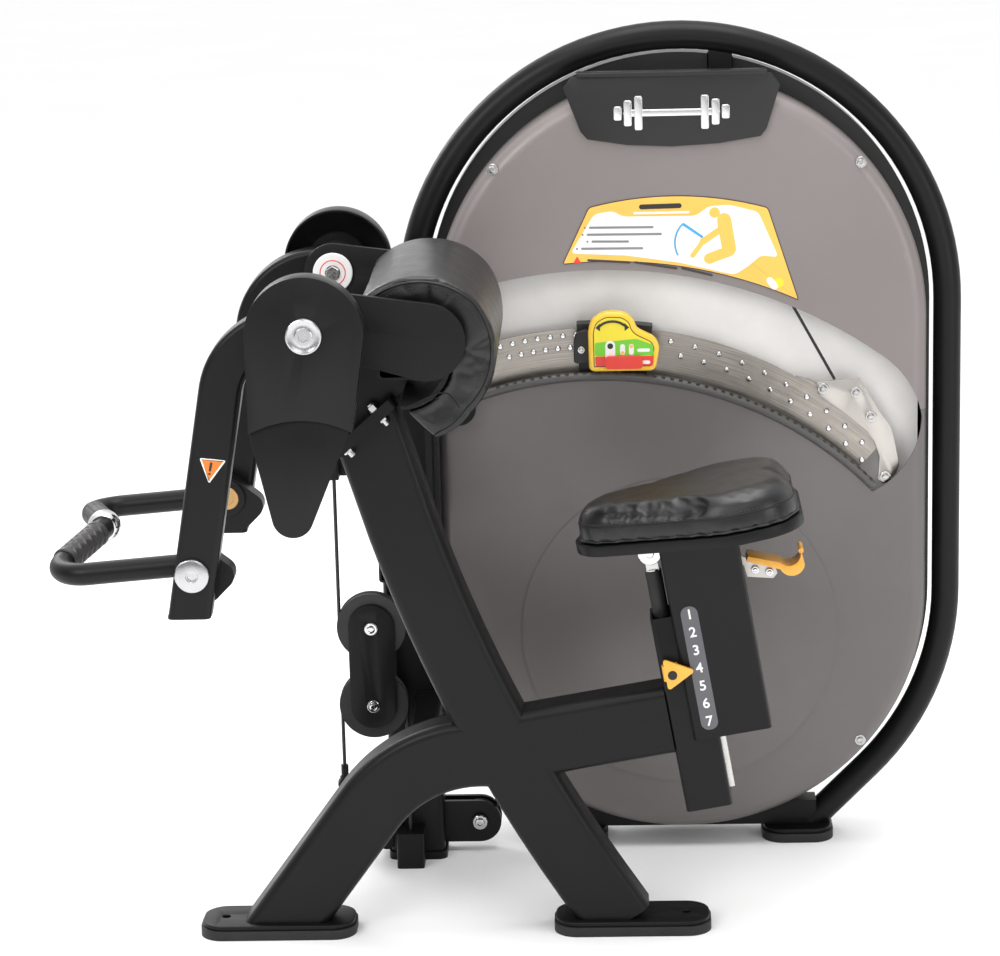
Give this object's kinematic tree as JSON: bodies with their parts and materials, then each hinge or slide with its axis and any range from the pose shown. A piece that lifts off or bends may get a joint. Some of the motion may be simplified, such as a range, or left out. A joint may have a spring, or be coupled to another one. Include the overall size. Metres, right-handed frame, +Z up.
{
  "type": "preacher curl machine",
  "caption": "Selectorised preacher curl machine: swing arms with a cranked handle, curled elbow pad, height adjustable seat and an oval weight tower with a sliding load selector.",
  "frame": {"origin": "middle of the whole machine's footprint, on the floor", "axes": "+X from the handles towards the seat, +Y from the front frame towards the weight tower, +Z up"},
  "size_m": [1.4982, 0.87, 1.4598],
  "materials": {
    "frame_black": "satin powder coat",
    "foot_rubber": "matt rubber",
    "bright_steel": "bright plated",
    "stainless": "brushed stainless",
    "chrome_cap": "polished",
    "bush_bronze": "sintered bronze",
    "vinyl_black": "grained vinyl over foam",
    "board_black": "moulded board",
    "cover_black": "satin moulded",
    "grip_rubber": "moulded rubber",
    "shroud_grey": "fine textured",
    "shroud_dark": "fine textured",
    "lip_dark": "satin",
    "panel_pale": "satin",
    "plate_charcoal": "satin",
    "placard_paper": "printed card",
    "yellow_plastic": "glossy moulded",
    "yellow_paint": "satin",
    "slider_dark": "satin",
    "weight_paint": "painted plates",
    "pulley_nylon": "moulded nylon",
    "cable_black": "nylon coated wire rope",
    "carriage_grey": "satin",
    "strip_grey": "printed"
  },
  "bodies": {
    "frame": {"diagonal_upright": "frame_black", "front_leg": "frame_black", "seat_tube": "frame_black", "foot_plates": "frame_black", "foot_pads": "foot_rubber", "yoke_beam": "frame_black", "joint_bolts": "bright_steel", "pivot_ears": "frame_black", "pad_board": "board_black", "elbow_pad": "vinyl_black", "pivot_covers": "cover_black", "pivot_axles": "bright_steel", "pivot_caps": "chrome_cap", "cross_links": "frame_black", "near_post": "frame_black", "tower_loop": "frame_black", "upper_shroud": "shroud_grey", "lower_shroud": "shroud_dark", "window_lip": "lip_dark", "back_shroud": "plate_charcoal", "header_plate": "plate_charcoal", "instruction_placard": "placard_paper", "shroud_screws": "bright_steel", "inner_panel": "panel_pale", "guide_rods": "bright_steel", "cable_fittings": "frame_black", "arm_cable": "cable_black", "base_cable": "cable_black", "seat_mast": "frame_black", "adjust_rack": "stainless", "seat_pointer": "yellow_paint"},
    "arm": {"arm_near": "frame_black", "arm_far": "frame_black", "arm_bushes": "bush_bronze", "cable_cam": "frame_black", "handle_pins": "chrome_cap"},
    "handle": {"handle_tube": "frame_black", "hand_grips": "grip_rubber", "grip_collar": "chrome_cap"},
    "seat": {"seat_carriage": "carriage_grey", "seat_pad": "vinyl_black", "number_strip": "strip_grey", "gas_spring": "bright_steel"},
    "seat_lever": {"seat_lever": "stainless", "lever_paddle": "yellow_plastic"},
    "lock_pin": {"lock_pin": "bright_steel"},
    "weight_lever": {"weight_lever": "stainless", "end_bracket": "stainless"},
    "selector": {"selector_grip": "yellow_plastic", "selector_slider": "slider_dark"},
    "selector_trigger": {"selector_trigger": "slider_dark"},
    "link_rod": {"link_rod": "stainless"},
    "weights": {"weight_block": "weight_paint"},
    "pulley_block": {"block_plates": "frame_black", "block_bolts": "bright_steel"},
    "upper_pulley": {"upper_pulley": "pulley_nylon"},
    "lower_pulley": {"lower_pulley": "pulley_nylon"},
    "base_pulley": {"base_pulley": "pulley_nylon"},
    "corner_pulley": {"corner_pulley": "pulley_nylon"},
    "top_pulley": {"top_pulley": "pulley_nylon"}
  },
  "joints": [
    {"name": "arm_swing", "type": "hinge", "parent": "frame", "child": "arm", "pos_m": [-0.31585, -0.089, 1.08], "axis": [0, 1, 0], "range_deg": [0, 125], "deforming": ["arm_cable", "base_cable"]},
    {"name": "handle_tilt", "type": "hinge", "parent": "arm", "child": "handle", "pos_m": [-0.50785, -0.089, 0.697], "axis": [0, 1, 0], "range_deg": [0, 80]},
    {"name": "seat_height", "type": "slide", "parent": "frame", "child": "seat", "axis": [-0.1668, 0, 0.986], "range_m": [-0.09, 0.09]},
    {"name": "seat_lever_lift", "type": "hinge", "parent": "seat", "child": "seat_lever", "pos_m": [0.31649, -0.089, 0.6366], "axis": [0, -1, 0], "range_deg": [0, 8], "stiffness_Nm_per_rad": 1, "springref_deg": -5.73},
    {"name": "lock_pin_pull", "type": "slide", "parent": "seat", "child": "lock_pin", "axis": [0.986, 0, 0.1668], "range_m": [0, 0.024]},
    {"name": "lever_lift", "type": "hinge", "parent": "frame", "child": "weight_lever", "pos_m": [-0.12085, 0.311, 0.812], "axis": [0, -1, 0], "range_deg": [0, 9.9]},
    {"name": "selector_slide", "type": "hinge", "parent": "weight_lever", "child": "selector", "pos_m": [0.11715, 0.311, 0.2], "axis": [0, 1, 0], "range_deg": [-12, 22.5]},
    {"name": "selector_squeeze", "type": "slide", "parent": "selector", "child": "selector_trigger", "axis": [0, 0, 1], "range_m": [0, 0.006], "stiffness_N_per_m": 400, "springref_m": -0.003},
    {"name": "link_rod_pivot", "type": "hinge", "parent": "selector", "child": "link_rod", "pos_m": [0.16179, 0.325, 0.83844], "axis": [0, 1, 0], "range_deg": [0, 9.1]},
    {"name": "weights_lift", "type": "slide", "parent": "frame", "child": "weights", "axis": [0, 0, 1], "range_m": [0, 0.048]},
    {"name": "pulley_block_lift", "type": "slide", "parent": "frame", "child": "pulley_block", "axis": [0, 0, 1], "range_m": [0, 0.05]},
    {"name": "upper_pulley_turn", "type": "hinge", "parent": "pulley_block", "child": "upper_pulley", "pos_m": [-0.27985, 0.213, 0.44], "axis": [0, 1, 0], "range_deg": [0, 60]},
    {"name": "lower_pulley_turn", "type": "hinge", "parent": "pulley_block", "child": "lower_pulley", "pos_m": [-0.27985, 0.213, 0.3], "axis": [0, 1, 0], "range_deg": [-60, 0]},
    {"name": "base_pulley_turn", "type": "hinge", "parent": "frame", "child": "base_pulley", "pos_m": [-0.10385, 0.297, 0.056], "axis": [0, 1, 0], "range_deg": [0, 190]},
    {"name": "corner_pulley_turn", "type": "hinge", "parent": "frame", "child": "corner_pulley", "pos_m": [-0.04385, 0.297, 1.13], "axis": [0, 1, 0], "range_deg": [-190, 0]},
    {"name": "top_pulley_turn", "type": "hinge", "parent": "frame", "child": "top_pulley", "pos_m": [0.33715, 0.297, 1.13], "axis": [0, 1, 0], "range_deg": [-190, 0]}
  ],
  "couplings": [
    {"joint": "lever_lift", "follows": "arm_swing", "ratio": 0.0767},
    {"joint": "link_rod_pivot", "follows": "arm_swing", "ratio": 0.0707},
    {"joint": "weights_lift", "follows": "arm_swing", "m_per_rad": 0.02117},
    {"joint": "pulley_block_lift", "follows": "arm_swing", "m_per_rad": 0.0225},
    {"joint": "upper_pulley_turn", "follows": "arm_swing", "ratio": 0.40179},
    {"joint": "lower_pulley_turn", "follows": "arm_swing", "ratio": -0.40179},
    {"joint": "base_pulley_turn", "follows": "arm_swing", "ratio": 1.5},
    {"joint": "corner_pulley_turn", "follows": "arm_swing", "ratio": -1.5},
    {"joint": "top_pulley_turn", "follows": "arm_swing", "ratio": -1.5},
    {"joint": "lock_pin_pull", "follows": "seat_lever_lift", "m_per_rad": 0.16}
  ]
}
